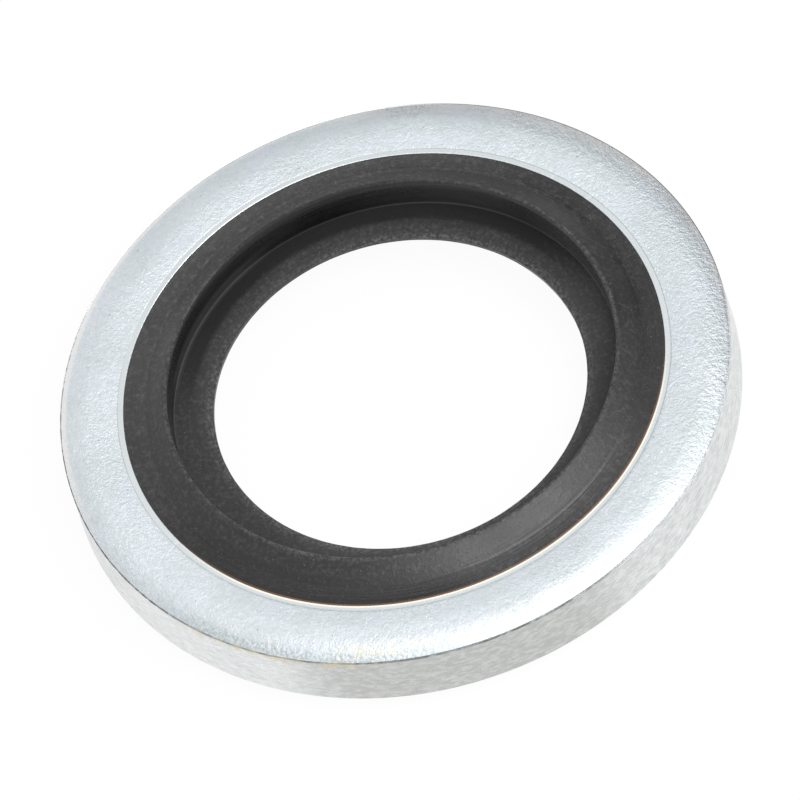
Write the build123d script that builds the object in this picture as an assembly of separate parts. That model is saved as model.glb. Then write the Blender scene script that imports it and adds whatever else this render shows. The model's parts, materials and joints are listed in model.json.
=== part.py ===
"""Self-centring bonded seal for a G 1/4 fitting.

A flat zinc-plated steel ring carries a rubber seal that is moulded into its bore. The seal
has a lip on each face, which the two clamped faces squeeze down to the steel, and a thin
tapered web that centres the ring on the thread. Both pieces are turned profiles about Z.
Millimetres, +Z up. The origin is on the axis, in the plane that the lower lip rests on.
"""

import os
from math import acos, atan2, cos, hypot, sin

from build123d import *

# Rubber seal, moulded in one piece. Its widths follow each other outwards from the bore.
web_bore_diameter = 11.45    # near the minor diameter of the thread
web_width = 1.105            # from the web's bore to the inner wall of the lips
web_root_thickness = 0.78
web_rim_thickness = 0.17
bead_width = 1.42            # from the inner wall of the lips to the steel
lip_height = 0.45            # of each lip above its face of the ring
lip_crest_radius = 0.12
lip_foot_width = 0.62        # flush strip between the bond and the foot of the lip's slope

# Steel ring, blanked from strip.
ring_width = 2.035
ring_thickness = 2.03
die_roll_width = 0.85        # rounded shoulder that the blanking die leaves on the upper face
die_roll_drop = 0.10
blank_taper = 0.065          # radius lost between the lower rim and the upper one
lower_rim_chamfer = 0.15     # burr side, broken all round
clamp_band_width = 0.19      # band beside the bore, on both faces, coined by the closed mould
clamp_band_depth = 0.02

# Worked out from the sizes above. Heights are from the middle of the ring's thickness.
web_bore_radius = web_bore_diameter / 2
lip_bore_radius = web_bore_radius + web_width
bond_radius = lip_bore_radius + bead_width
ring_outer_radius = bond_radius + ring_width
half_ring = ring_thickness / 2
half_bond = half_ring - clamp_band_depth
lip_top = half_ring + lip_height


def ring_section() -> Sketch:
    """Section of the ring on one side of the axis."""
    upper_rim_radius = ring_outer_radius - blank_taper
    band_edge = bond_radius + clamp_band_width
    face_edge = band_edge + clamp_band_depth
    with BuildSketch(Plane.XZ) as section:
        with BuildLine():
            bore_and_face = Polyline(
                (bond_radius, -half_bond),
                (bond_radius, half_bond),
                (band_edge, half_bond),
                (face_edge, half_ring),
                (upper_rim_radius - die_roll_width, half_ring),
            )
            die_roll = TangentArc(
                bore_and_face @ 1,
                (upper_rim_radius, half_ring - die_roll_drop),
                tangent=(1, 0),
            )
            Polyline(
                die_roll @ 1,
                (ring_outer_radius, lower_rim_chamfer - half_ring),
                (ring_outer_radius - lower_rim_chamfer, -half_ring),
                (face_edge, -half_ring),
                (band_edge, -half_bond),
                bore_and_face @ 0,
            )
        make_face()
    return section.sketch


def slope_start(centre: tuple, radius: float, foot: tuple) -> tuple:
    """Point of the crest's circle where a straight line to the foot leaves it at a tangent."""
    across = foot[0] - centre[0]
    up = foot[1] - centre[1]
    angle = atan2(up, across) + acos(radius / hypot(across, up))
    return (centre[0] + radius * cos(angle), centre[1] + radius * sin(angle))


def seal_section() -> Sketch:
    """Section of the seal on one side of the axis, the same above and below the web's middle."""
    crest_centre = (lip_bore_radius + lip_crest_radius, lip_top - lip_crest_radius)
    slope_foot = (bond_radius - lip_foot_width, half_bond)
    slope_top = slope_start(crest_centre, lip_crest_radius, slope_foot)
    web_rim = (web_bore_radius, web_rim_thickness / 2)
    with BuildSketch(Plane.XZ) as section:
        with BuildLine():
            Polyline((bond_radius, half_bond), slope_foot, slope_top)
            crest = ThreePointArc(
                slope_top,
                (crest_centre[0], lip_top),
                (lip_bore_radius, crest_centre[1]),
            )
            Polyline(crest @ 1, (lip_bore_radius, web_root_thickness / 2), web_rim)
            mirror(about=Plane.XZ)
            Line((bond_radius, half_bond), (bond_radius, -half_bond))
            Line(web_rim, (web_bore_radius, -web_rim_thickness / 2))
        make_face()
    return section.sketch


def make_steel_ring() -> Part:
    """The ring, lifted so that it lies midway between the crests of the two lips."""
    return Pos(0, 0, lip_top) * revolve(ring_section(), Axis.Z)


def make_rubber_seal() -> Part:
    """The seal, with the crest of its lower lip at height zero."""
    return Pos(0, 0, lip_top) * revolve(seal_section(), Axis.Z)


os.makedirs("parts", exist_ok=True)
export_step(make_steel_ring(), "parts/steel_ring.step")
export_step(make_rubber_seal(), "parts/rubber_seal.step")
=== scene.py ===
"""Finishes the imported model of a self-centring bonded sealing washer.

The frame holds two turned solids: a zinc-plated steel ring, and a rubber seal that is moulded
into its bore. Each is replaced by a finer surface of the same section, which adds what the
plain solid leaves out: the ragged edge of the blank, the nicks across the coined band, the
rounded root of the web and the mould's turning marks. Metres, in the frame's own axes.
"""

import json
import math
from collections import namedtuple

import bpy
import numpy as np
from bpy.props import FloatProperty, FloatVectorProperty, IntProperty, PointerProperty
from mathutils import Euler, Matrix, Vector


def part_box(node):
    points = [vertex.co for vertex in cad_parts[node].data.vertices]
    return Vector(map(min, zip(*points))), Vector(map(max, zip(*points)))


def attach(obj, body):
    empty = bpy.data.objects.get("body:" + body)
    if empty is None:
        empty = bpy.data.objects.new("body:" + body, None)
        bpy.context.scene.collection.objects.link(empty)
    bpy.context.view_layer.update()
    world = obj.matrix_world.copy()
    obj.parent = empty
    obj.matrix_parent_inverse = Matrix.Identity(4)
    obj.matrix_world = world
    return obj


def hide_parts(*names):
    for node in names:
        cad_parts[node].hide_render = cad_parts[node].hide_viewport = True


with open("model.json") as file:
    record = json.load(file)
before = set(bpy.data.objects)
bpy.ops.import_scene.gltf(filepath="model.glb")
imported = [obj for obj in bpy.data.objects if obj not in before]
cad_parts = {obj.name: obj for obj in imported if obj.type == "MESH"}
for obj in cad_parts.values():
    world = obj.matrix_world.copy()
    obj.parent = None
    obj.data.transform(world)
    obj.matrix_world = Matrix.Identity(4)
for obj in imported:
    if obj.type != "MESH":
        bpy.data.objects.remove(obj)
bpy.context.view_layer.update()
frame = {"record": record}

bl_info = {
    "name": "Bonded sealing washer",
    "version": (1, 0, 0),
    "blender": (4, 5, 0),
    "location": "3D View > Sidebar > Washer",
    "description": "Plated ring and moulded seal of a bonded sealing washer, with its studio",
    "category": "Object",
}

MM = 0.001
PLACE = "along_section"    # attribute: millimetres along the section
RING_ROUNDS = 1000         # points round the ring
SEAL_ROUNDS = 840          # points round the seal
CAMERA_CLIP = 0.01         # metres

STEEL_LOW, STEEL_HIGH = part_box("steel_ring")
RING_RADIUS = min(STEEL_HIGH.x, -STEEL_LOW.x, STEEL_HIGH.y, -STEEL_LOW.y)
SEAL_LOW, SEAL_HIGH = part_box("rubber_seal")
MIDDLE = (SEAL_LOW.z + SEAL_HIGH.z) / 2
THREAD_BORE = next(m for m in frame["record"]["mounts"] if m["name"] == "thread_bore")["dims"]
SLOT_COLOURS = {m["slot"]: m["base_color"] for m in frame["record"]["materials"]}


# ---- Sizes and colours ----

def number(name, description, default, **settings):
    """A number that a user can change."""
    return FloatProperty(name=name, description=description, default=default, **settings)


def length(name, description, default):
    """A length that a user can change, in metres."""
    return number(name, description, default, min=0.0, precision=6, subtype="DISTANCE",
                  unit="LENGTH")


def angle(name, description, degrees):
    """An angle that a user can change."""
    return number(name, description, math.radians(degrees), subtype="ANGLE")


def power(name, description, watts):
    """The power of a lamp that a user can change."""
    return number(name, description, watts, unit="POWER")


def colour(name, description, default):
    """A colour that a user can change."""
    return FloatVectorProperty(
        name=name, description=description, default=default, size=3, min=0.0, max=1.0,
        subtype="COLOR")


class RingSizes(bpy.types.PropertyGroup):
    """Sizes of the steel ring."""

    outer_radius: length("Outer radius", "Radius of the rim", RING_RADIUS)
    upper_face: length("Upper face", "Height of the upper face", STEEL_HIGH.z)
    lower_face: length("Lower face", "Height of the lower face", STEEL_LOW.z)
    bore_radius: length("Bore radius", "Where the rubber is bonded", SEAL_HIGH.x)
    die_roll_width: length("Die roll width", "Width of the rounded shoulder", 0.85 * MM)
    die_roll_drop: length("Die roll drop", "Depth of the rounded shoulder", 0.10 * MM)
    blank_taper: length("Blank taper", "Radius lost up the rim", 0.065 * MM)
    lower_chamfer: length("Lower chamfer", "Broken edge of the lower rim", 0.15 * MM)
    band_width: length("Band width", "Width of the coined band", 0.185 * MM)
    band_depth: length("Band depth", "Depth of the coined band", 0.02 * MM)
    step_width: length("Step width", "Width of the rise from the band to the face", 0.10 * MM)
    edge_round: length("Edge round", "Rounding of the small edges", 0.02 * MM)
    chip_depth: length("Chip depth", "Depth of the ragged edge", 0.035 * MM)
    peel_depth: length("Peel depth", "Depth of the plating's relief", 0.0012 * MM)
    nick_depth: length("Nick depth", "Depth of the nicks across the band", 0.005 * MM)
    crown_drop: length("Crown drop", "Fall of the face from its crown to the band", 0.0145 * MM)


class SealSizes(bpy.types.PropertyGroup):
    """Sizes of the rubber seal."""

    bond_radius: length("Bond radius", "Outer radius of the rubber", SEAL_HIGH.x)
    crest_height: length("Crest height", "Height of the upper lip's crest", SEAL_HIGH.z)
    bond_height: length("Bond height", "Height of the flush strip", STEEL_HIGH.z - 0.02 * MM)
    web_bore: length("Web bore", "Radius of the web's bore", THREAD_BORE["r_mm"] * MM)
    rim_thickness: length("Rim thickness", "Web at its bore", THREAD_BORE["length_mm"] * MM)
    root_thickness: length("Root thickness", "Web at the lips", 0.78 * MM)
    lip_bore: length("Lip bore", "Radius of the lips' inner wall", 6.83 * MM)
    crest_round: length("Crest round", "Radius of the lips' crests", 0.08 * MM)
    foot_width: length("Foot width", "Flush strip outside the lips", 0.62 * MM)
    root_round: length("Root round", "Fillet between web and lip", 0.034 * MM)
    rim_round: length("Rim round", "Rounding of the web's bore", 0.035 * MM)
    bond_round: length("Bond round", "Rounding of the rubber at the steel", 0.014 * MM)
    mark_depth: length("Mark depth", "Depth of the mould's turning marks", 0.0015 * MM)
    foot_round: length("Foot round", "Radius of the lip's foot", 0.35 * MM)
    foot_groove: length("Foot groove", "Depth of the line at the lip's foot", 0.008 * MM)
    wander: length("Wander", "How far the bore and crest wander", 0.022 * MM)
    strip_hollow: length("Strip hollow", "Depth of the hollow along the flush strip", 0.014 * MM)
    web_lift: length("Web lift", "How far the web's bore stands above the middle", 0.055 * MM)
    web_arch: length("Web arch", "How far the web's faces bulge", 0.043 * MM)
    web_oval: length("Web oval", "How far the web's bore is out of round", 0.064 * MM)
    web_shift: length("Web shift", "How far the web's bore is off the axis", 0.046 * MM)
    web_shrink: length("Web shrink", "How far the web's bore is under its size", 0.035 * MM)
    oval_bearing: angle("Oval bearing", "Direction of the long axis of the web's bore", -60.5)


class Finishes(bpy.types.PropertyGroup):
    """Colours of the washer."""

    zinc: colour("Zinc", "Plated faces", SLOT_COLOURS["zinc_plate"])
    cut_edge: colour("Cut edge", "Plated wall of the blank", (0.83, 0.845, 0.84))
    # Dull blotches of the wall, and also painted shade on the wall and the shoulder at the front
    dull_edge_and_shade: colour("Dull edge", "Thinner plating on one side of the wall", (0.465, 0.467, 0.452))
    film: colour("Film", "Clear film of the bonding agent beside the rubber", (1.0, 0.95, 0.82))
    band: colour("Band", "Coined band beside the bore", (0.65, 0.685, 0.695))
    # Also used for painted shade on the faces, across the band's edge and on the shoulder
    shade: colour("Shade", "Darker grain of the plating", (0.35, 0.41, 0.415))
    cool: colour("Cool tone", "Bluer tone of parts of the plating", (0.70, 0.74, 0.84))
    # Also used for painted highlights on the shoulder and on the wall
    sparkle_and_highlight: colour("Sparkle", "Bright grain of the plating", (0.95, 0.96, 0.97))
    grime: colour("Grime", "Dark line along the ragged edge", (0.12, 0.11, 0.10))
    passivate: colour("Passivate", "Yellow tint left by the plating bath", (0.76, 0.63, 0.36))
    # Used only for painted light on the rim's edge at the back
    lit_edge: colour("Pale edge", "Bare, paler edge at the back of the rim", (0.90, 0.86, 0.84))
    # Also laid back over the dust as painted shade in the recess at the back and on the strip at the
    # sides
    rubber: colour("Rubber", "Moulded rubber", (0.002, 0.002, 0.002))
    rubber_worn: colour("Rubber streak", "Paler streaks of the rubber", SLOT_COLOURS["nitrile_rubber"])
    # Also used for painted sheen, highlights and light on the strip, slope, crest, web and inner wall
    dust_and_painted_light: colour("Dust", "Dust on the rubber", (0.295, 0.29, 0.288))
    primer: colour("Primer", "Bonding film at the edge of the rubber", (0.30, 0.13, 0.05))


class StudioSettings(bpy.types.PropertyGroup):
    """Camera and light."""

    picture_width: IntProperty(
        name="Picture width", description="Width of the picture", default=800, subtype="PIXEL")
    focal_pixels: number("Focal length", "Focal length in the picture's pixels", 7000.0)
    elevation: angle("Elevation", "Camera above the horizon", 52.93)
    roll: angle("Roll", "Camera turned about its line of sight", -18.76)
    distance: length("Distance", "From the camera to the upper steel face", 209.1 * MM)
    axis_right: number("Axis right", "Axis to the right of the middle, in pixels", -7.7)
    axis_up: number("Axis up", "Axis above the middle, in pixels", 25.9)
    tent_light: number("Tent light", "Light from the white tent all round", 0.50)
    key_power: power("Key power", "Overhead softbox", 0.21)
    fill_power: power("Fill power", "Softbox by the camera", 2.25)
    strip_power: power("Strip power", "Low strip at the back", 0.14)
    floor_white: number("Floor white", "Share of the floor that shows as plain white", 0.95,
                        min=0.0, max=1.0, subtype="FACTOR")
    floor_size: length("Floor size", "Width of the floor", 4.0)


# ---- Surfaces ----

Corner = namedtuple("Corner", "name radius height round arc_steps run_steps")
Lattice = namedtuple("Lattice", "cells_round cell_length seed")

FULL_TURN = 2 * math.pi
RAGGED_BEARINGS = (236, 318, 347)    # degrees: where the shear left the rim most ragged
RAGGED_SPREAD = 0.045                # of a turn, to each side of a bearing
NICK_BEARINGS = (28, 38, 62, 76, 131, 204)    # degrees
NICK_WIDTH = 0.035 * MM
RIM_WIDTH = 0.055 * MM        # that the ragged edge reaches to each side of the rim
STROKE_DEPTH = 0.0016 * MM    # of the shear's strokes on the wall
RELIEF_FADE = 0.05 * MM       # beyond the ends of a face
CROWN_INSET = 0.30 * MM       # of the face's highest place from its middle
LIP_WIDTH = 0.12 * MM         # that the wander of an edge reaches to each side of it
GROOVE_WIDTH = 0.024 * MM     # of the line at the lip's foot
BANK_PLACE = 0.07 * MM        # of the low bank to each side of that line
BANK_WIDTH = 0.025 * MM
NEARLY = 0.999                # of a radius, so that no arc takes up a whole side
LOWER_RUNS = (5, 4, 3, 3, 3)  # steps of the seal's lower side, from the web's rim to the bond
BULGE_POWER = 1.6             # the web bulges as x - x^1.6
BULGE_PEAK = 0.17             # greatest value of x - x^1.6

# Random relief of the ring. One that runs only round the turn has any cell length.
PEEL = Lattice(260, 0.24 * MM, 11)
FINE_PEEL = Lattice(520, 0.12 * MM, 12)
DENTS = Lattice(90, 0.7 * MM, 13)
STROKES = Lattice(48, 0.10 * MM, 14)
FINE_STROKES = Lattice(130, 0.055 * MM, 15)
UNEVEN = Lattice(7, 1.0, 16)
CHIPS = Lattice(210, 1.0, 17)
FINE_CHIPS = Lattice(640, 1.0, 18)
RIM_WANDER = Lattice(26, 1.0, 19)

# Random relief of the seal
TURNING_MARKS = Lattice(12, 0.06 * MM, 31)
FINE_MARKS = Lattice(30, 0.03 * MM, 32)
SWELL = Lattice(60, 0.6 * MM, 33)
DRIFT = Lattice(9, 1.0, 34)
FINE_DRIFT = Lattice(170, 1.0, 35)


def fillet(before, corner, after, radius, steps):
    """Points of an arc that rounds a corner, from its start to its end.

    The arc touches both sides. Its centre is on the corner's bisector, at the radius divided
    by the sine of half the corner's angle, and its points turn about that centre evenly. A
    corner of no radius is one point.
    """
    if radius == 0:
        return corner[None, :]
    back = (before - corner) / np.linalg.norm(before - corner)
    ahead = (after - corner) / np.linalg.norm(after - corner)
    half = math.acos(np.clip(back @ ahead, -1.0, 1.0)) / 2
    bisector = (back + ahead) / np.linalg.norm(back + ahead)
    centre = corner + bisector * radius / math.sin(half)
    first = corner + back * radius / math.tan(half) - centre
    turn = math.copysign(math.pi - 2 * half, first[1] * back[0] - first[0] * back[1])
    angle = turn * np.arange(steps + 1) / steps
    across = np.array([-first[1], first[0]])
    return centre + np.cos(angle)[:, None] * first + np.sin(angle)[:, None] * across


def closed_section(corners):
    """Points of a closed outline of rounded corners, and how far along each corner lies.

    Each corner is its arc, and then a straight run of even steps to the next corner's arc.
    """
    spots = np.array([(c.radius, c.height) for c in corners])
    neighbours = zip(corners, np.roll(spots, 1, axis=0), spots, np.roll(spots, -1, axis=0))
    arcs = [fillet(*three, corner.round, corner.arc_steps) for corner, *three in neighbours]
    points = []
    middles = []
    for corner, arc, next_arc in zip(corners, arcs, arcs[1:] + arcs[:1]):
        middles.append(sum(len(p) for p in points) + (len(arc) - 1) / 2)
        inner = np.arange(1, corner.run_steps)[:, None] / corner.run_steps
        points += [arc, arc[-1] + inner * (next_arc[0] - arc[-1])]
    points = np.concatenate(points)
    steps = np.linalg.norm(np.roll(points, -1, axis=0) - points, axis=1)
    along = np.concatenate(([0.0], np.cumsum(steps)[:-1]))
    marks = np.interp(middles, np.arange(len(points)), along)
    return points, along, {c.name: mark for c, mark in zip(corners, marks)}


def outward(points):
    """Outward normals of a section that runs clockwise: its tangent, turned a quarter left."""
    tangent = np.roll(points, -1, axis=0) - np.roll(points, 1, axis=0)
    tangent /= np.linalg.norm(tangent, axis=1)[:, None]
    return np.stack([-tangent[:, 1], tangent[:, 0]], axis=1)


def ease(x):
    """Rises from 0 to 1 with level ends: 6 x^5 - 15 x^4 + 10 x^3."""
    x = np.clip(x, 0.0, 1.0)
    return x ** 3 * (x * (6.0 * x - 15.0) + 10.0)


def relief(turn, along, lattice):
    """Smooth random relief between -1 and 1 that closes on itself round the ring.

    Random heights stand on a lattice of turn by distance along the section, and each point
    takes the heights of its four neighbours, weighted by the ease curve in both directions.
    """
    cells_round = lattice.cells_round
    rows = int(np.ceil(along.max() / lattice.cell_length)) + 2
    heights = np.random.default_rng(lattice.seed).uniform(-1.0, 1.0, (cells_round, rows))
    u, v = turn * cells_round, along / lattice.cell_length
    column, row = np.floor(u).astype(int), np.floor(v).astype(int)
    near, far = column % cells_round, (column + 1) % cells_round
    across, up = ease(u - column), ease(v - row)
    low = heights[near, row] * (1 - across) + heights[far, row] * across
    high = heights[near, row + 1] * (1 - across) + heights[far, row + 1] * across
    return low * (1 - up) + high * up


def ridge(distance, width):
    """A bell curve, 1 at distance 0 and falling by a factor of e at the width."""
    return np.exp(-((distance / width) ** 2))


def window(along, start, end, fade):
    """1 between two places along the section, easing to 0 over the fade beyond each."""
    return ease((along - start + fade) / fade) * ease((end - along + fade) / fade)


def put_in_scene(piece):
    """Links an object to the scene and returns it."""
    bpy.context.scene.collection.objects.link(piece)
    return piece


def turned_piece(name, outline, along, material):
    """A closed surface whose section changes as it turns.

    Point (i, j) is at the radius and height of outline[i, j], turned about Z by i equal
    steps. Both directions close on themselves, so the surface has no open edge.
    """
    rounds, steps = outline.shape[:2]
    radius, height = outline[..., 0], outline[..., 1]
    angle = FULL_TURN * np.arange(rounds)[:, None] / rounds
    vertices = np.stack(
        [radius * np.cos(angle), radius * np.sin(angle), height], axis=-1).reshape(-1, 3)
    i, j = np.meshgrid(np.arange(rounds), np.arange(steps), indexing="ij")
    next_i, next_j = (i + 1) % rounds, (j + 1) % steps
    faces = np.stack(
        [i * steps + j, i * steps + next_j, next_i * steps + next_j, next_i * steps + j],
        axis=-1).reshape(-1, 4)
    mesh = bpy.data.meshes.new(name)
    mesh.vertices.add(len(vertices))
    mesh.vertices.foreach_set("co", vertices.ravel())
    mesh.loops.add(faces.size)
    mesh.loops.foreach_set("vertex_index", faces.ravel())
    mesh.polygons.add(len(faces))
    mesh.polygons.foreach_set("loop_start", np.arange(0, faces.size, 4))
    mesh.shade_smooth()
    mesh.update(calc_edges=True)
    mesh.validate()
    place = mesh.attributes.new(PLACE, "FLOAT", "POINT")
    place.data.foreach_set("value", np.tile(along / MM, rounds))
    mesh.materials.append(material)
    return put_in_scene(bpy.data.objects.new(name, mesh))


# ---- Sections ----

def ring_section(ring):
    """Section of the ring, clockwise from the lower end of its bore."""
    upper, lower = ring.upper_face, ring.lower_face
    band_edge = ring.bore_radius + ring.band_width
    face_edge = band_edge + ring.step_width
    rim = ring.outer_radius - ring.blank_taper
    roll_radius = (ring.die_roll_width ** 2 + ring.die_roll_drop ** 2) / (2 * ring.die_roll_drop)
    half_turn = math.atan2(ring.die_roll_drop, ring.die_roll_width)
    roll_corner = rim - ring.die_roll_width + roll_radius * math.tan(half_turn)
    small = ring.edge_round
    crown = (face_edge + rim) / 2 - CROWN_INSET
    crown_turn = math.atan2(ring.crown_drop, crown - face_edge)
    crown_round = 0.9 * (rim - ring.die_roll_width - crown) / math.tan(crown_turn / 2)
    return closed_section([
        Corner("lower_bore", ring.bore_radius, lower + ring.band_depth, small, 3, 1),
        Corner("upper_bore", ring.bore_radius, upper - ring.band_depth, small / 2, 3, 6),
        Corner("band_edge", band_edge, upper - ring.band_depth, 15 * small, 4, 3),
        Corner("face_edge", face_edge, upper - ring.crown_drop, 8 * small, 4, 8),
        Corner("crown", crown, upper, crown_round, 8, 2),
        Corner("die_roll", roll_corner, upper, roll_radius * NEARLY, 18, 1),
        Corner("rim", rim, upper - ring.die_roll_drop, small, 4, 20),
        Corner("wall_foot", ring.outer_radius, lower + ring.lower_chamfer, small, 2, 1),
        Corner("lower_rim", ring.outer_radius - ring.lower_chamfer, lower, small, 2, 4),
        Corner("lower_face_edge", face_edge, lower, small, 1, 1),
        Corner("lower_band_edge", band_edge, lower + ring.band_depth, 0, 0, 3),
    ])


def seal_section(seal):
    """Section of the seal, clockwise from the upper end of the bond."""
    foot = np.array([seal.bond_radius - seal.foot_width, seal.bond_height])
    centre = np.array([seal.lip_bore + seal.crest_round, seal.crest_height - seal.crest_round])
    reach = np.linalg.norm(centre - foot)
    lean = math.atan2(centre[1] - foot[1], foot[0] - centre[0])
    slope = lean + math.asin(seal.crest_round / reach)
    crest = foot[1] + (foot[0] - seal.lip_bore) * math.tan(slope)
    half_root, half_rim = seal.root_thickness / 2, seal.rim_thickness / 2
    upper = [
        Corner("upper_bond", seal.bond_radius, seal.bond_height, seal.bond_round, 3, 9),
        Corner("foot", foot[0], foot[1], seal.foot_round, 10, 9),
        Corner("crest", seal.lip_bore, crest, seal.crest_round * NEARLY, 8, 11),
        Corner("root", seal.lip_bore, MIDDLE + half_root, seal.root_round, 5, 17),
        Corner("rim", seal.web_bore, MIDDLE + half_rim, seal.rim_round, 3, 2),
    ]
    lower = [
        c._replace(name="lower_" + c.name.split("_")[-1], height=2 * MIDDLE - c.height,
                   arc_steps=max(2, c.arc_steps - 1), run_steps=run_steps)
        for c, run_steps in zip(reversed(upper), LOWER_RUNS)
    ]
    clockwise = (upper + lower)[::-1]
    return closed_section([
        c._replace(run_steps=following.run_steps)
        for c, following in zip(clockwise, clockwise[1:] + clockwise[:1])
    ])


def ring_relief(ring, turn, along, marks):
    """Offsets of the ring's surface from its section.

    They are the plating's relief, the shear's strokes on the wall, the ragged rim, the nicks
    across the band, and a shallow fall of the face between its crown and the rim, which
    follows x^2 (1 - x^2).
    """
    peel = relief(turn, along, PEEL) + 0.6 * relief(turn, along, FINE_PEEL)
    dents = relief(turn, along, DENTS)
    offsets = ring.peel_depth * (0.5 * peel + 0.5 * dents - 1.0)
    face = window(along, marks["face_edge"], marks["rim"], RELIEF_FADE)
    wall = window(along, marks["rim"], marks["wall_foot"], RELIEF_FADE)
    under = window(along, marks["lower_rim"], marks["lower_face_edge"], RELIEF_FADE)
    offsets *= face + 0.5 * wall + under

    strokes = relief(turn, along, STROKES) + relief(turn, along, FINE_STROKES)
    offsets += wall * STROKE_DEPTH * (0.5 * strokes - 1.0)

    nowhere = 0 * along
    torn = [ridge(turn - math.radians(b) / FULL_TURN, RAGGED_SPREAD) for b in RAGGED_BEARINGS]
    front = 0.5 - 0.5 * np.sin(FULL_TURN * turn)
    ragged = 0.02 + 0.10 * front * (1.0 + relief(turn, nowhere, UNEVEN)) + 0.75 * sum(torn)
    chips = relief(turn, nowhere, CHIPS) + 0.7 * relief(turn, nowhere, FINE_CHIPS)
    wander = relief(turn, nowhere, RIM_WANDER)
    rim = ridge(along - marks["rim"], RIM_WIDTH)
    offsets += rim * ring.chip_depth * ragged * (0.35 * chips + 0.35 * wander - 0.7)

    outer = np.clip((along - marks["crown"]) / (marks["rim"] - marks["crown"]), 0.0, 1.0) ** 2
    offsets -= 0.9 * ring.crown_drop * outer * (1.0 - outer)

    band = window(along, marks["upper_bore"], marks["face_edge"], 0.02 * MM)
    from_nick = FULL_TURN * turn[..., None] - np.radians(NICK_BEARINGS)
    nicks = ridge(from_nick * ring.bore_radius, NICK_WIDTH).sum(axis=-1)
    return offsets - band * nicks * ring.nick_depth


def seal_relief(seal, turn, along, marks):
    """Offsets of the seal's surface: turning marks, the line at the lip's foot and wander."""
    cut = relief(turn, along, TURNING_MARKS) + 0.6 * relief(turn, along, FINE_MARKS)
    swell = relief(turn, along, SWELL)
    offsets = seal.mark_depth * (0.55 * cut + 0.45 * swell - 1.0)

    for name in ("foot", "lower_foot"):
        beside = along - marks[name]
        offsets -= seal.foot_groove * ridge(beside, GROOVE_WIDTH)
        offsets += 0.4 * seal.foot_groove * ridge(np.abs(beside) - BANK_PLACE, BANK_WIDTH)

    nowhere = 0 * along
    drift = relief(turn, nowhere, DRIFT) + 0.20 * relief(turn, nowhere, FINE_DRIFT)
    for name in ("crest", "rim", "lower_rim", "lower_crest"):
        offsets += seal.wander * ridge(along - marks[name], LIP_WIDTH) * (0.35 * drift - 0.5)
    return offsets


def settled_seal(seal, outline, turn):
    """The seal's outline as the soft rubber has set.

    The web's bore is lifted, shrunk, shifted and oval, by two waves round the turn; this grows
    from nothing at the lips' wall to its whole at the bore. The web's faces bulge between the
    two, and the flush strips are hollow.
    """
    radius, height = outline[..., 0], outline[..., 1]
    inward = np.clip((seal.lip_bore - radius) / (seal.lip_bore - seal.web_bore), 0.0, 1.0)
    give = ease(inward)
    angle = FULL_TURN * turn
    oval = seal.web_oval * np.cos(2 * (angle - seal.oval_bearing))
    radial = give * (oval + seal.web_shift * np.cos(angle) - seal.web_shrink)
    foot = seal.bond_radius - seal.foot_width
    over = np.clip((radius - foot) / seal.foot_width, 0.0, 1.0)
    hollow = 4 * seal.strip_hollow * over * (1.0 - over)
    bulge = seal.web_arch * (inward - inward ** BULGE_POWER) / BULGE_PEAK
    lift = give * seal.web_lift + np.sign(height - MIDDLE) * (bulge - hollow)
    return np.stack([radius + radial, height + lift], axis=-1)


# ---- Nodes ----

def joined(operation, swapped=False):
    """A method that joins two values with an operation of the Math node."""
    def method(self, other):
        pair = (other, self) if swapped else (self, other)
        return maths(self.tree, operation, *pair)
    return method


class Value:
    """A number that changes over a surface. Arithmetic on it adds nodes to its tree."""

    __add__ = __radd__ = joined("ADD")
    __mul__ = __rmul__ = joined("MULTIPLY")
    __sub__ = joined("SUBTRACT")
    __rsub__ = joined("SUBTRACT", swapped=True)
    __truediv__ = joined("DIVIDE")
    __rtruediv__ = joined("DIVIDE", swapped=True)
    __or__ = joined("MAXIMUM")    # the larger of two

    def __init__(self, tree, socket):
        self.tree = tree
        self.socket = socket

    def rise(self, start, end, low=0.0, high=1.0):
        """Goes smoothly from low, at the start, to high, at the end."""
        values = {"Value": self, "From Min": start, "From Max": end, "To Min": low, "To Max": high}
        node = add(self.tree, "MapRange", values, interpolation_type="SMOOTHSTEP")
        return Value(self.tree, node.outputs[0])

    def spread(self, low, high):
        """Low where this is 0, and high where it is 1."""
        return self.rise(0.0, 1.0, low, high)


def feed(tree, socket, value):
    """Links a socket to a value, or sets the socket's own number, vector or colour."""
    if isinstance(value, Value):
        value = value.socket
    if isinstance(value, bpy.types.NodeSocket):
        tree.links.new(value, socket)
    elif socket.type == "RGBA":
        socket.default_value = (*value, 1.0)
    else:
        socket.default_value = value


def add(tree, kind, values=None, **settings):
    """A shader node with its settings made and its inputs fed."""
    node = tree.nodes.new("ShaderNode" + kind)
    for name, value in settings.items():
        setattr(node, name, value)
    for socket, value in (values or {}).items():
        feed(tree, node.inputs[socket], value)
    return node


def maths(tree, operation, *values):
    """Result of an operation of the Math node."""
    return Value(tree, add(tree, "Math", dict(enumerate(values)), operation=operation).outputs[0])


def vector(tree, operation, values):
    """Result of an operation of the Vector Math node."""
    return add(tree, "VectorMath", values, operation=operation).outputs[0]


def mixed(tree, mask, first, second):
    """The first colour where the mask is 0, and the second where it is 1."""
    node = add(tree, "Mix", data_type="RGBA")
    for index, value in ((0, mask), (6, first), (7, second)):
        feed(tree, node.inputs[index], value)
    return node.outputs[2]


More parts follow.
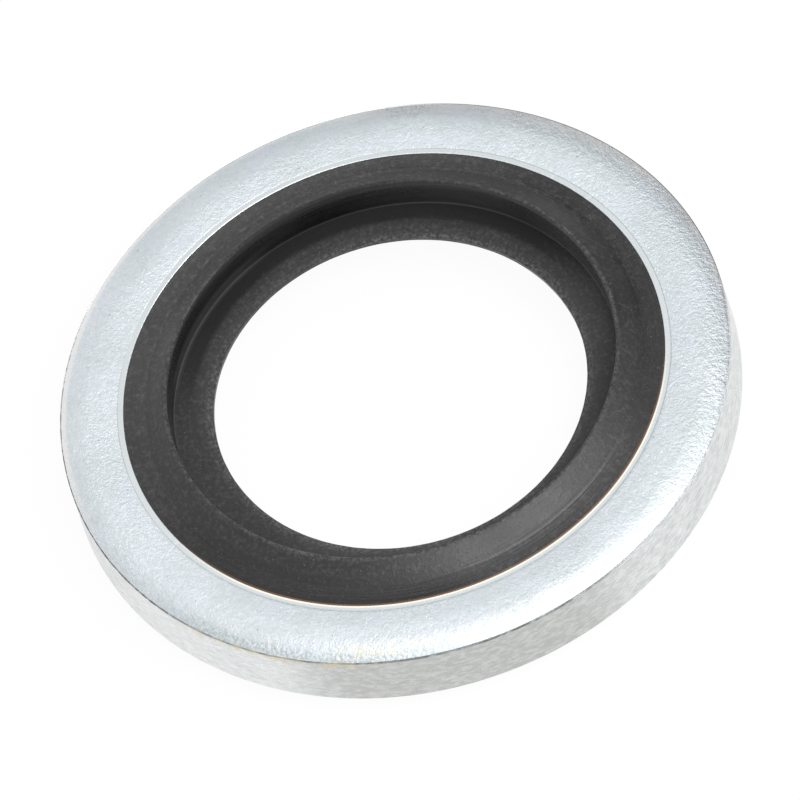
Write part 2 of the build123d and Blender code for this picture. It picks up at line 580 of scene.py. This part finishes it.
def new_group(name, inputs, output):
    """An empty shader node group, its named inputs as values, and the socket of its output."""
    group = bpy.data.node_groups.new(name, "ShaderNodeTree")
    for label, default in inputs.items():
        socket = group.interface.new_socket(label, in_out="INPUT", socket_type="NodeSocketFloat")
        socket.default_value = default
    group.interface.new_socket(output, in_out="OUTPUT", socket_type="NodeSocketFloat")
    given = group.nodes.new("NodeGroupInput").outputs
    end = group.nodes.new("NodeGroupOutput")
    return group, {label: Value(group, given[label]) for label in inputs}, end.inputs[0]


def millimetres(tree):
    """Place on the object in millimetres."""
    place = add(tree, "TexCoord").outputs["Object"]
    return vector(tree, "SCALE", {0: place, "Scale": 1 / MM})


def outward_from_axis(tree):
    """Level direction from the axis to each point, of length 1."""
    level = vector(tree, "MULTIPLY", {0: millimetres(tree), 1: (1, 1, 0)})
    return vector(tree, "NORMALIZE", {0: level})


def along_section(tree):
    """Millimetres along the section, from the piece's own attribute."""
    return Value(tree, add(tree, "Attribute", attribute_name=PLACE).outputs["Fac"])


def noise(tree, values):
    """Smooth noise in four dimensions, the fourth of which is the seed."""
    return Value(tree, add(tree, "TexNoise", values, noise_dimensions="4D").outputs["Fac"])


def grain_group(name):
    """Soft random mottling of one size, from 0 to 1."""
    group, given, end = new_group(
        name, {"Size": 0.15, "Detail": 3.0, "Low": 0.35, "High": 0.65, "Seed": 0.0}, "Mottle")
    mottle = noise(group, {
        "Vector": millimetres(group), "W": given["Seed"], "Scale": 1.0 / given["Size"],
        "Detail": given["Detail"], "Roughness": 0.55,
    })
    feed(group, end, mottle.rise(given["Low"], given["High"]))
    return group


def specks_group(name):
    """Small separate spots: 1 at each spot, 0 between them."""
    group, given, end = new_group(
        name, {"Spacing": 0.3, "Size": 0.15, "Share": 0.5, "Seed": 0.0}, "Speck")
    place = vector(group, "ADD", {0: millimetres(group), 1: given["Seed"]})
    cells = add(group, "TexVoronoi", {"Vector": place, "Scale": 1.0 / given["Spacing"]})
    chances = add(group, "SeparateColor", {0: cells.outputs["Color"]}).outputs
    size = given["Size"] * chances[1]
    spot = (Value(group, cells.outputs["Distance"]) / size).rise(0.6, 1.0, 1.0, 0.0)
    kept = maths(group, "LESS_THAN", chances[0], given["Share"])
    feed(group, end, spot * kept)
    return group


def streaks_group(name):
    """Fine streaks that run round the axis, from 0 to 1."""
    group, given, end = new_group(
        name, {"Width": 0.06, "Waves": 4.0, "Low": 0.35, "High": 0.65, "Seed": 0.0}, "Streak")
    waved = vector(group, "SCALE", {0: outward_from_axis(group), "Scale": given["Waves"]})
    across = add(group, "CombineXYZ", {"Z": along_section(group) / given["Width"]})
    lifted = vector(group, "ADD", {0: waved, 1: across.outputs[0]})
    streak = noise(group, {"Vector": lifted, "W": given["Seed"], "Scale": 1.0, "Detail": 2.0})
    feed(group, end, streak.rise(given["Low"], given["High"]))
    return group


def shared(name, make_group):
    """A method that places a shared node group, built once, with values of its own."""
    def method(self, **values):
        group = bpy.data.node_groups.get(name) or make_group(name)
        inputs = {label.capitalize(): value for label, value in values.items()}
        return Value(self.tree, add(self.tree, "Group", inputs, node_tree=group).outputs[0])
    return method


class Coat:
    """Colour of a turned piece, laid in layers under masks that run from 0 to 1.

    Places are in millimetres past a corner of the section, and bearings in degrees.
    """

    grain = shared("grain", grain_group)
    specks = shared("specks", specks_group)
    streaks = shared("turned_streaks", streaks_group)

    def __init__(self, tree, finish, marks, base):
        self.tree = tree
        self.finish = finish
        self.marks = {name: mark / MM for name, mark in marks.items()}
        self.place = along_section(tree)
        self.colour = getattr(finish, base)

    def lay(self, colour, mask):
        """Lays one of the finish's colours over the last one, as far as the mask goes."""
        self.colour = mixed(self.tree, mask, self.colour, getattr(self.finish, colour))

    def span(self, first, start, last, end, fade):
        """1 from a place past the first corner to a place past the last, with faded ends."""
        start, end = self.marks[first] + start, self.marks[last] + end
        return self.place.rise(start - fade, start) * self.place.rise(end, end + fade, 1.0, 0.0)

    def by(self, corner, start, end, fade):
        """1 from one place past a corner to another, with faded ends."""
        return self.span(corner, start, corner, end, fade)

    def toward(self, bearing, inner, outer):
        """1 within the inner angle of a bearing, and 0 beyond the outer angle."""
        bearing, inner, outer = (math.radians(angle) for angle in (bearing, inner, outer))
        aim = (math.cos(bearing), math.sin(bearing), 0)
        both = {0: outward_from_axis(self.tree), 1: aim}
        node = add(self.tree, "VectorMath", both, operation="DOT_PRODUCT")
        return Value(self.tree, node.outputs["Value"]).rise(math.cos(outer), math.cos(inner))


def new_material(name, **plain):
    """A material with one Principled shader, whose plain values are set on its own sockets."""
    material = bpy.data.materials.new(name)
    material.use_nodes = True
    tree = material.node_tree
    shader = tree.nodes["Principled BSDF"]
    for label, value in plain.items():
        shader.inputs[label.replace("_", " ")].default_value = value
    return material, tree, shader


def finish_shader(tree, shader, surface, rough, height, depth):
    """Feeds the shader its colour, its roughness and a bump of the given depth in metres."""
    bump = add(tree, "Bump", {"Height": height, "Distance": depth})
    feed(tree, shader.inputs["Base Color"], surface)
    feed(tree, shader.inputs["Roughness"], rough)
    feed(tree, shader.inputs["Normal"], bump.outputs[0])


# ---- Materials ----

# The last factor of a layer's mask is the layer's strength.
ZINC_RELIEF = 0.0065 * MM     # of the plating's grain, as a bump
RUBBER_RELIEF = 0.004 * MM    # of the mould's marks, as a bump


def sheared_wall(tree, finish, marks, pits, blotches, streaks):
    """Colour of the blank's wall: streaks that the shear left, with painted light at the front left
    and painted shade at the front.
    """
    wall = Coat(tree, finish, marks, "cut_edge")
    long_streaks = wall.streaks(width=0.28, waves=20, low=0.3, high=0.7, seed=6)
    flecks = wall.streaks(width=0.05, waves=48, low=0.58, high=0.74, seed=8)
    wall.lay("shade", streaks * 0.52)
    wall.lay("dull_edge_and_shade", blotches * 0.23)
    wall.lay("sparkle_and_highlight", long_streaks * 0.28)
    # Painted light: the wall is lighter at the front left
    wall.lay("sparkle_and_highlight", wall.toward(224, 12, 28) * 0.28)
    wall.lay("sparkle_and_highlight", flecks * 0.60)
    wall.lay("shade", pits * 0.5)
    # Painted shade: the wall is darker at the front, mottled by the blotches
    wall.lay("dull_edge_and_shade", wall.toward(266, 18, 34) * blotches.spread(0.52, 0.78))
    return wall.colour


def zinc_material(finish, marks):
    """Bright zinc over blanked steel: grained faces, streaked wall, smooth band, dirty rim line,
    painted light and shade.
    """
    material, tree, shader = new_material("zinc_plated_steel", Metallic=1.0)
    coat = Coat(tree, finish, marks, "zinc")
    lay, by, span, toward = coat.lay, coat.by, coat.span, coat.toward
    wall = span("rim", 0.02, "wall_foot", 0, 0.02)
    band = span("upper_bore", 0, "band_edge", 0, 0.01)
    shoulder = by("rim", -0.75, 0, 0.30)

    clouds = coat.grain(size=2.6, detail=2, seed=3)
    coarse = coat.grain(size=0.14, detail=2, low=0.30, high=0.70, seed=5)
    fine = coat.grain(size=0.06, detail=2, low=0.30, high=0.70, seed=7)
    tones = coat.grain(size=1.3, detail=2, low=0.42, high=0.62, seed=31)
    sparkles = coat.specks(spacing=0.15, size=0.24, share=0.45, seed=2)
    pits = coat.specks(spacing=0.34, size=0.13, share=0.45, seed=9)
    blotches = coat.streaks(width=0.13, waves=34, low=0.36, high=0.64, seed=17)
    streaks = coat.streaks(width=0.045, waves=38, low=0.36, high=0.64, seed=4)

    # Grain of the faces, and the wall. Painted shade darkens the inner face at the front right and the
    # outer face at the back right.
    lay("shade", fine * 0.22)
    lay("shade", coarse * 0.18)
    lay("shade", clouds * 0.16)
    lay("cool", tones * 0.24)
    lay("shade", by("face_edge", 0, 0.30, 0.35) * toward(300, 55, 90) * 0.12)
    lay("shade", span("crown", 0.10, "rim", -0.80, 0.25) * toward(55, 75, 115) * 0.08)
    lay("sparkle_and_highlight", sparkles * 0.60)
    lay("shade", pits * 0.8)
    cut = sheared_wall(tree, finish, marks, pits, blotches, streaks)
    coat.colour = mixed(tree, wall, coat.colour, cut)

    # The band, the line at its edge, painted shade across the band's edge at the front, and the
    # bonding film beside the rubber
    near = toward(275, 42, 76)
    lay("band", band * 0.8)
    line_sides = toward(5, 50, 85) | toward(195, 25, 60) * 0.45
    lay("shade", by("band_edge", -0.014, 0.006, 0.010) * line_sides * 0.68)
    lay("shade", by("band_edge", -0.005, 0.01, 0.09) * near * 0.22)
    lay("primer", by("upper_bore", -0.03, 0.006, 0.012) * near * 0.75)
    lay("film", by("upper_bore", 0.020, 0.055, 0.018) * near * 0.95)

    # The shoulder, from the back round to the near side: painted shade at the back and at the front, a
    # painted highlight at the back right, and painted light on the rim's edge at the back left and the
    # back right
    back_shoulder = shoulder * toward(106, 16, 32)
    lay("shade", back_shoulder * 0.09)
    lay("dull_edge_and_shade", by("rim", -0.78, -0.45, 0.20) * toward(280, 45, 72) * 0.14)
    lay("sparkle_and_highlight", by("rim", -0.36, 0, 0.14) * toward(54, 18, 42) * 0.30)
    lit_sides = toward(148, 24, 48) * 0.55 | toward(50, 35, 75) * 0.34
    lay("lit_edge", by("rim", -0.16, 0, 0.12) * lit_sides)

    # Dirt in the ragged rim, and a thinner line of it along the back and the left
    patchy = coat.grain(size=0.30, detail=4, low=0.30, high=0.62, seed=12)
    torn = by("rim", -0.020, 0.050, 0.030) * toward(255, 30, 46) * patchy
    line_sides = toward(33, 26, 46) | toward(184, 28, 48) * patchy
    rim_line = by("rim", -0.055, 0.050, 0.020) * line_sides
    lay("grime", (torn | rim_line) * 0.85)

    # Chips and stains near the ragged rim
    speckled = coat.grain(size=0.10, low=0.38, high=0.62, seed=19)
    stained = coat.grain(size=0.22, detail=4, low=0.42, high=0.64, seed=15)
    chipped = coat.specks(spacing=0.11, size=0.34, share=0.5, seed=14)
    lay("shade", by("rim", -0.24, 0, 0.22) * toward(239, 14, 30) * speckled * 0.62)
    chip_sides = toward(215, 20, 32) | toward(344, 16, 28)
    lay("sparkle_and_highlight", by("rim", -0.05, 0.03, 0.03) * chip_sides * chipped * 0.75)
    lay("passivate", by("rim", 0.03, 0.13, 0.15) * toward(235, 8, 22) * stained * 0.58)
    lay("passivate", by("rim", -0.55, -0.30, 0.20) * toward(254, 4, 11) * stained * 0.30)

    rough = 0.24 + fine * 0.10 + clouds * 0.05 - band * 0.04 + back_shoulder * 0.09
    calm = toward(262, 35, 75) * 0.40 | toward(98, 32, 55) * shoulder * 0.80
    hammered = coarse * shoulder.spread(0.42, 0.66) + fine * 0.52
    height = hammered * (1.0 - (wall | band)) * (1.0 - calm) + streaks * wall * 0.50
    finish_shader(tree, shader, coat.colour, rough, height, ZINC_RELIEF)
    return material


def rubber_material(finish, marks):
    """Black nitrile rubber: mirrored turning marks of its mould, smudges, a little pale dust, and
    painted light and shade that change round the ring.
    """
    material, tree, shader = new_material(
        "moulded_nitrile_rubber", Metallic=0.0, Specular_IOR_Level=0.55)
    coat = Coat(tree, finish, marks, "rubber")
    lay, by, span, toward = coat.lay, coat.by, coat.span, coat.toward
    web = span("rim", 0.02, "root", 0, 0.06)
    wall = span("root", 0, "crest", -0.10, 0.05)
    slope = span("crest", 0.15, "foot", 0, 0.10)
    strip = span("foot", 0, "upper_bond", 0, 0.12)
    crest = by("crest", -0.06, 0.02, 0.16)
    bore = by("rim", -0.10, 0.10, 0.25)
    turned = span("foot", -0.10, "upper_bond", 0, 0.25)
    far = toward(90, 35, 65)

    clouds = coat.grain(size=1.8, low=0.30, high=0.70, seed=21)
    smudges = coat.grain(size=0.14, detail=4, low=0.47, high=0.68, seed=28)
    fine = coat.grain(size=0.09, low=0.46, high=0.76, seed=22)
    dust_cloud = coat.grain(size=0.09, detail=5, low=0.38, high=0.72, seed=25)
    streaks = coat.streaks(width=0.05, waves=3, high=0.70, seed=23)
    grooves = coat.streaks(width=0.030, waves=1.5, low=0.20, high=0.80, seed=27)
    specks = coat.specks(spacing=0.17, size=0.19, share=0.5, seed=24)
    motes = coat.specks(spacing=0.075, size=0.34, share=0.6, seed=26)

    # Streaks of the mould, and dust that has settled on every part
    lay("rubber_worn", streaks * 0.40)
    lay("rubber_worn", clouds * 0.15)
    settled = (crest | bore) * (1.0 - far * 0.85) | clouds * 0.15
    lay("dust_and_painted_light", dust_cloud * settled * 0.22)
    lay("dust_and_painted_light", smudges * 0.075)

    # The strip beside the bond and the slope. Painted sheen, mottled like dust, lightens the strip at
    # the back and the front right and the slope at the back; painted shade lays plain rubber back over
    # the strip at the front left and the right.
    sheen_sides = toward(115, 42, 85) | toward(292, 16, 38) * 1.25
    lay("dust_and_painted_light", strip * sheen_sides * smudges.spread(0.045, 0.065))
    lay("dust_and_painted_light", slope * toward(113, 22, 62) * smudges.spread(0.035, 0.125))
    shaded_sides = toward(236, 24, 40) | toward(346, 10, 28) * 0.6
    lay("rubber", span("foot", -0.20, "upper_bond", 0, 0.14) * shaded_sides * 0.9)
    lay("dust_and_painted_light", fine * 0.045)
    lay("dust_and_painted_light", motes * 0.09)
    lay("dust_and_painted_light", specks * 0.25)

    # Painted shade in the recess at the back, where the web's root and the lip's inner wall go back to
    # plain rubber; then dust along the web's bore and the crest, heavier at the front, where it also
    # stands for a painted highlight
    lay("rubber", span("root", -0.40, "crest", -0.10, 0.30) * toward(92, 50, 80) * 0.90)
    edge = by("rim", -0.10, 0.05, 0.45) * dust_cloud.spread(0.025, 0.095)
    edge = edge * streaks.spread(0.65, 1.20) * toward(258, 20, 60).spread(1.0, 1.7)
    lay("dust_and_painted_light", edge)
    fuzz_and_sheen = toward(38, 28, 48) * 0.18 | toward(262, 22, 42) * 0.12 | toward(136, 12, 26) * 0.14
    lay("dust_and_painted_light", by("crest", -0.02, 0.06, 0.09) * dust_cloud * fuzz_and_sheen)
    lay("dust_and_painted_light", by("rim", -0.04, 0.05, 0.12) * toward(72, 20, 36) * dust_cloud * 0.26)

    # The web, the lip's inner wall, its root and the bond. Painted light lifts the web everywhere but
    # at the back, most at the front right and the front left, the inner wall at the right and the left
    # back, and the root at the left back; a thin pale line runs along the root at the back.
    web_sides = (1.0 - toward(80, 45, 80)) * toward(340, 28, 52).spread(0.030, 0.055)
    lay("dust_and_painted_light", web * web_sides)
    lay("dust_and_painted_light", web * toward(250, 12, 30) * 0.045)
    lit_sides = (toward(0, 50, 95) | toward(150, 30, 60) * 0.25) + toward(4, 18, 34) * 0.80
    lay("dust_and_painted_light", wall * lit_sides * 0.115)
    lay("dust_and_painted_light", by("root", 0, 0.28, 0.15) * toward(136, 12, 28) * 0.09)
    lay("dust_and_painted_light", by("root", -0.008, 0.008, 0.016) * toward(110, 40, 85) * 0.06)
    lay("primer", by("upper_bond", -0.03, 0.03, 0.03) * toward(275, 42, 76) * 0.45)

    far_wall = by("root", 0, 0.35, 0.20) * toward(82, 60, 95)
    far_root = by("root", -0.45, -0.05, 0.20) * toward(90, 55, 85)
    rough = 0.27 + fine * 0.08 + clouds * 0.10 + web * 0.42 + slope * far.spread(0.09, 0.36)
    rough = rough + crest * toward(92, 20, 40).spread(0.22, 0.48)
    rough = rough - strip * 0.06 - wall * 0.04 + far_wall * 0.10 + far_root * 0.25
    height = (fine * 0.5 + specks * 1.2) * (1.0 - wall * 0.8) + streaks * 0.5
    height = height + smudges * slope * 0.85 + grooves * turned * 1.15
    finish_shader(tree, shader, coat.colour, rough, height, RUBBER_RELIEF)
    return material


# ---- Stage ----

Softbox = namedtuple("Softbox", "name place width depth power")
Card = namedtuple("Card", "name place width depth")

# Metres, all aimed at the washer. A softbox's power is the name of its setting.
SOFTBOXES = (
    Softbox("overhead_softbox", (0.064, 0.153, 0.50), 0.22, 0.17, "key_power"),
    Softbox("front_softbox", (0.170, -0.215, 0.42), 0.52, 0.26, "fill_power"),
    Softbox("back_strip", (0.05, 0.58, 0.14), 0.50, 0.06, "strip_power"),
)
CARDS = (
    Card("back_card", (0.26, 0.62, 0.35), 0.70, 0.36),
    Card("right_card", (0.43, 0.45, 0.44), 0.42, 0.50),
    Card("left_card", (-0.24, 0.24, 0.50), 0.13, 0.13),
    Card("low_right_card", (0.52, 0.42, 0.10), 0.38, 0.165),
)
WHITE = (1.0, 1.0, 1.0)
FLOOR_PAINT = (0.93, 0.93, 0.93)
CARD_PAINT = (0.45, 0.46, 0.47)


def empty_tree(owner):
    """The node tree of a material or a world, turned on and cleared."""
    owner.use_nodes = True
    owner.node_tree.nodes.clear()
    return owner.node_tree


def seen_directly(tree):
    """1 for a ray that shows the surface to the camera, a reflection or a clear material."""
    path = add(tree, "LightPath").outputs
    return Value(tree, path["Is Camera Ray"]) | path["Is Glossy Ray"] | path["Is Transmission Ray"]


def show(tree, output, mask, first, second):
    """Puts out the first shader where the mask is 0, and the second where it is 1."""
    blend = add(tree, "MixShader", {0: mask, 1: first.outputs[0], 2: second.outputs[0]})
    add(tree, output, {"Surface": blend.outputs[0]})


def sheet(name, centre, half_width, half_depth, material):
    """A flat rectangle whose sides are at the two half vectors from its centre."""
    mesh = bpy.data.meshes.new(name)
    signs = ((-1, -1), (1, -1), (1, 1), (-1, 1))
    corners = [centre + x * half_width + y * half_depth for x, y in signs]
    mesh.from_pydata(corners, [], [(0, 1, 2, 3)])
    mesh.materials.append(material)
    return put_in_scene(bpy.data.objects.new(name, mesh))


def toward_washer(place):
    """Turn that points a lamp's or a card's own -Z axis at the washer."""
    return (-Vector(place)).to_track_quat("-Z", "Y")


def make_floor(studio):
    """A plain pale floor that shows as white and still takes the object's shadow."""
    material = bpy.data.materials.new("pale_floor")
    tree = empty_tree(material)
    paint = add(tree, "BsdfDiffuse", {"Color": FLOOR_PAINT})
    white = add(tree, "Emission", {"Color": WHITE})
    show(tree, "OutputMaterial", seen_directly(tree) * studio.floor_white, paint, white)
    half = studio.floor_size / 2
    floor = sheet("floor", Vector(), Vector((half, 0, 0)), Vector((0, half, 0)), material)


def make_tent(studio):
    """A white tent all round: plain white where it shows, and softer as a light."""
    world = bpy.data.worlds.new("white_tent")
    bpy.context.scene.world = world
    tree = empty_tree(world)
    light = add(tree, "Background", {"Color": WHITE, "Strength": studio.tent_light})
    white = add(tree, "Background", {"Color": WHITE})
    show(tree, "OutputWorld", seen_directly(tree), light, white)


def make_softbox(box, power):
    """A rectangular lamp of a power in watts, hidden from the camera."""
    light = bpy.data.lights.new(box.name, "AREA")
    light.shape = "RECTANGLE"
    light.size = box.width
    light.size_y = box.depth
    light.energy = power
    lamp = put_in_scene(bpy.data.objects.new(box.name, light))
    lamp.location = box.place
    lamp.rotation_euler = toward_washer(box.place).to_euler()
    lamp.visible_camera = False


def make_cards():
    """Grey cards that show only in the washer's reflections."""
    material = bpy.data.materials.new("grey_card")
    tree = empty_tree(material)
    paint = add(tree, "BsdfDiffuse", {"Color": CARD_PAINT})
    add(tree, "OutputMaterial", {"Surface": paint.outputs[0]})
    for spec in CARDS:
        turned = toward_washer(spec.place)
        card = sheet(spec.name, Vector(spec.place), turned @ Vector((spec.width / 2, 0, 0)),
                     turned @ Vector((0, spec.depth / 2, 0)), material)
        card.visible_camera = False
        card.visible_diffuse = False


def make_camera(studio):
    """A long lens that looks down at the washer from the front, rolled a little.

    The camera stands so that the axis, at the height of the upper steel face, lies at the
    studio's distance along the line of sight and at its pixels from the middle.
    """
    data = bpy.data.cameras.new("camera")
    data.lens = studio.focal_pixels * data.sensor_width / studio.picture_width
    data.clip_start = CAMERA_CLIP
    camera = put_in_scene(bpy.data.objects.new("camera", data))
    tilt = Euler((math.pi / 2 - studio.elevation, 0, 0)).to_matrix()
    turned = tilt @ Euler((0, 0, studio.roll)).to_matrix()
    per_pixel = studio.distance / studio.focal_pixels
    offset = Vector((studio.axis_right * per_pixel, studio.axis_up * per_pixel, -studio.distance))
    camera.location = Vector((0, 0, STEEL_HIGH.z)) - turned @ offset
    camera.rotation_euler = turned.to_euler()
    bpy.context.scene.camera = camera


# ---- Operators and panel ----

def grid(rounds, along):
    """Turn, from 0 to 1, and distance along the section, for every point of a piece."""
    return np.meshgrid(np.arange(rounds) / rounds, along, indexing="ij")


def raised(section, offsets):
    """The section at every turn, moved along its normals by the offsets."""
    return section + offsets[..., None] * outward(section)


class WASHER_OT_make_steel_ring(bpy.types.Operator):
    """Make the zinc-plated steel ring"""

    bl_idname = "washer.make_steel_ring"
    bl_label = "Steel ring"

    def execute(self, context):
        ring = context.scene.washer_ring
        section, along, marks = ring_section(ring)
        turns, places = grid(RING_ROUNDS, along)
        outline = raised(section, ring_relief(ring, turns, places, marks))
        material = zinc_material(context.scene.washer_finishes, marks)
        piece = turned_piece("plated_ring", outline, along, material)
        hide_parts("steel_ring")
        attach(piece, "root")
        return {"FINISHED"}


class WASHER_OT_make_rubber_seal(bpy.types.Operator):
    """Make the moulded rubber seal"""

    bl_idname = "washer.make_rubber_seal"
    bl_label = "Rubber seal"

    def execute(self, context):
        seal = context.scene.washer_seal
        section, along, marks = seal_section(seal)
        turns, places = grid(SEAL_ROUNDS, along)
        outline = raised(section, seal_relief(seal, turns, places, marks))
        outline = settled_seal(seal, outline, turns)
        material = rubber_material(context.scene.washer_finishes, marks)
        piece = turned_piece("moulded_seal", outline, along, material)
        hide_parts("rubber_seal")
        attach(piece, "root")
        return {"FINISHED"}


class WASHER_OT_set_stage(bpy.types.Operator):
    """Set up the floor, the light and the camera"""

    bl_idname = "washer.set_stage"
    bl_label = "Stage"

    def execute(self, context):
        studio = context.scene.washer_studio
        context.scene.view_settings.view_transform = "Standard"
        make_floor(studio)
        make_tent(studio)
        for box in SOFTBOXES:
            make_softbox(box, getattr(studio, box.power))
        make_cards()
        make_camera(studio)
        return {"FINISHED"}


class WASHER_PT_sidebar(bpy.types.Panel):
    """Sizes, colours and buttons of the washer"""

    bl_idname = "WASHER_PT_sidebar"
    bl_label = "Bonded sealing washer"
    bl_space_type = "VIEW_3D"
    bl_region_type = "UI"
    bl_category = "Washer"

    def draw(self, context):
        for settings in SETTINGS:
            box = self.layout.box()
            group = getattr(context.scene, settings)
            for name in group.__annotations__:
                box.prop(group, name)
        for operator in OPERATORS:
            self.layout.operator(operator.bl_idname)


OPERATORS = (WASHER_OT_set_stage, WASHER_OT_make_steel_ring, WASHER_OT_make_rubber_seal)
SETTINGS = {
    "washer_ring": RingSizes,
    "washer_seal": SealSizes,
    "washer_finishes": Finishes,
    "washer_studio": StudioSettings,
}
CLASSES = (*SETTINGS.values(), *OPERATORS, WASHER_PT_sidebar)


def register():
    """Registers the settings, operators and panel."""
    for cls in CLASSES:
        bpy.utils.register_class(cls)
    for name, cls in SETTINGS.items():
        setattr(bpy.types.Scene, name, PointerProperty(type=cls))


def unregister():
    """Removes what register added."""
    for name in SETTINGS:
        delattr(bpy.types.Scene, name)
    for cls in reversed(CLASSES):
        bpy.utils.unregister_class(cls)


def main():
    """Registers the add-on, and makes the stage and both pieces."""
    register()
    bpy.ops.washer.set_stage()
    bpy.ops.washer.make_steel_ring()
    bpy.ops.washer.make_rubber_seal()


if __name__ == "__main__":
    main()
